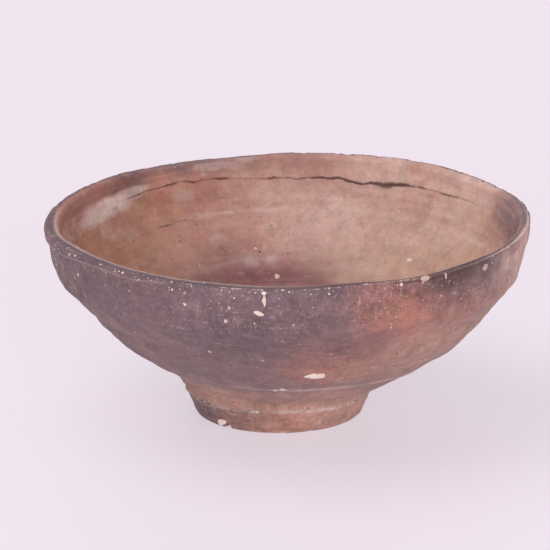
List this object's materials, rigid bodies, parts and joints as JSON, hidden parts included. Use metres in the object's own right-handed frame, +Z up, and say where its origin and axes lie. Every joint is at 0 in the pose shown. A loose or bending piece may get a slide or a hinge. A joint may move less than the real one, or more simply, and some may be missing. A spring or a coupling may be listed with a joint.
{
  "type": "tea bowl",
  "caption": "Wide wood-fired stoneware tea bowl with a low upright band under a beaded lip and a small off-centre turned foot, for whisking and drinking matcha.",
  "frame": {"origin": "on the bowl's own axis, at the plane the foot stands on; the foot ring's axis is 2.5 mm from it towards -X", "axes": "+Z up along the bowl's axis, +X towards the side that the foot lies away from, -Y towards the face with the large stone"},
  "size_m": [0.142, 0.142, 0.0583],
  "materials": {
    "lip_clay": "wood-fired stoneware, matt to satin, worn pale along the lip",
    "band_clay": "wood-fired stoneware, matt to satin, with throwing lines and pale grit",
    "body_clay": "wood-fired stoneware, matt to satin, brown and purple flashing outside, tan and pink inside",
    "foot_clay": "turned and wiped stoneware, matt, tan to dark brown",
    "feldspar": "white feldspar, slightly glassy"
  },
  "bodies": {
    "root": {"rim_coil": "lip_clay", "shoulder_coil": "band_clay", "bowl_base": "body_clay", "foot_ring": "foot_clay", "feldspar_stones": "feldspar"}
  },
  "joints": []
}
